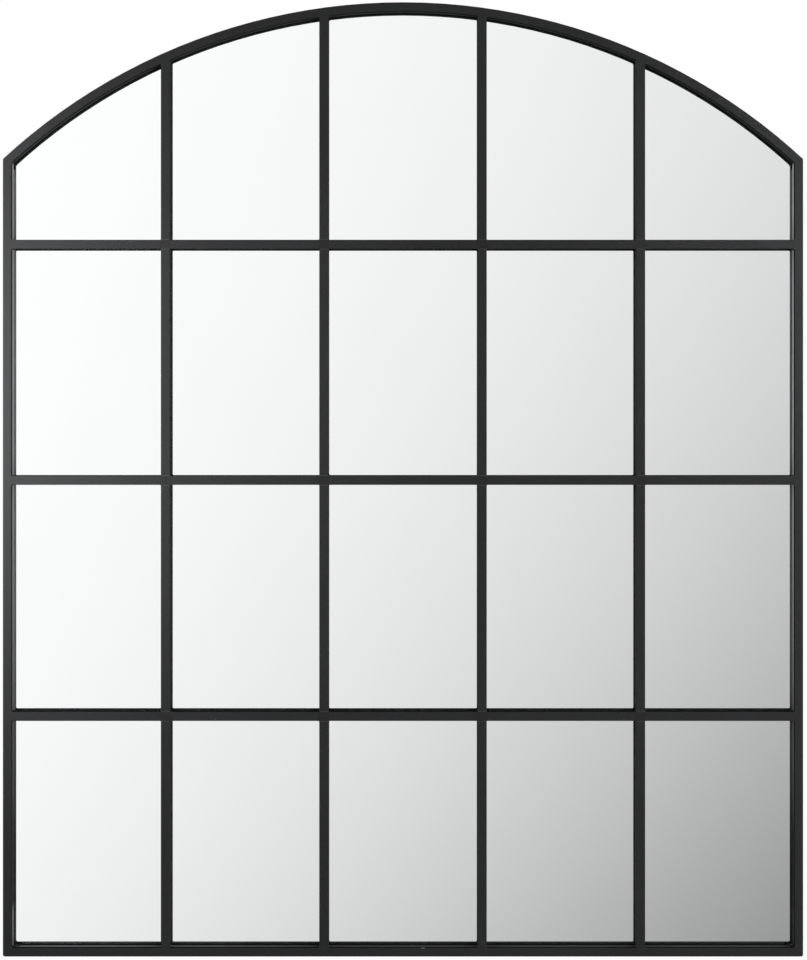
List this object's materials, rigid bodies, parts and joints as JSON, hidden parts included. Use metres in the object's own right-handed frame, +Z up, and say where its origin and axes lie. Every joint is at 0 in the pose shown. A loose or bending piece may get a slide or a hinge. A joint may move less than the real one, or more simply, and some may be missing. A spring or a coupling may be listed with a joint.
{
  "type": "arched window mirror",
  "caption": "Wall mirror made like an arched steel window: a segmental-arch frame and a flush grid of glazing bars over one sheet of mirror glass.",
  "frame": {"origin": "bottom centre of the whole mirror: middle of the width and depth, at the underside of the bottom rail", "axes": "+Z up, the mirror faces -Y, +Y points at the wall behind it, X runs along the bottom rail"},
  "size_m": [0.914, 0.027, 1.09],
  "materials": {
    "frame_paint": "satin",
    "mirror": "polished",
    "foam_tape": "matte foam",
    "fibreboard": "raw fibreboard",
    "zinc_screw": "zinc plated",
    "rubber": "matte"
  },
  "bodies": {
    "root": {"arch_rail": "frame_paint", "left_stile": "frame_paint", "right_stile": "frame_paint", "bottom_rail": "frame_paint", "vertical_bar_1": "frame_paint", "vertical_bar_2": "frame_paint", "vertical_bar_3": "frame_paint", "vertical_bar_4": "frame_paint", "horizontal_bar_1": "frame_paint", "horizontal_bar_2": "frame_paint", "horizontal_bar_3": "frame_paint", "mirror_glass": "mirror", "mounting_tape_1": "foam_tape", "mounting_tape_2": "foam_tape", "mounting_tape_3": "foam_tape", "mounting_tape_4": "foam_tape", "back_board": "fibreboard", "board_clip_left_1": "frame_paint", "board_clip_left_2": "frame_paint", "board_clip_left_3": "frame_paint", "board_clip_right_1": "frame_paint", "board_clip_right_2": "frame_paint", "board_clip_right_3": "frame_paint", "board_clip_bottom_left": "frame_paint", "board_clip_bottom_right": "frame_paint", "board_clip_arch_left": "frame_paint", "board_clip_arch_right": "frame_paint", "clip_screw_left_1": "zinc_screw", "clip_screw_left_2": "zinc_screw", "clip_screw_left_3": "zinc_screw", "clip_screw_right_1": "zinc_screw", "clip_screw_right_2": "zinc_screw", "clip_screw_right_3": "zinc_screw", "clip_screw_bottom_left": "zinc_screw", "clip_screw_bottom_right": "zinc_screw", "clip_screw_arch_left": "zinc_screw", "clip_screw_arch_right": "zinc_screw", "hanger_plate_left": "frame_paint", "hanger_plate_right": "frame_paint", "bumper_bottom_left": "rubber", "bumper_bottom_right": "rubber", "bumper_top_left": "rubber", "bumper_top_right": "rubber"}
  },
  "joints": []
}
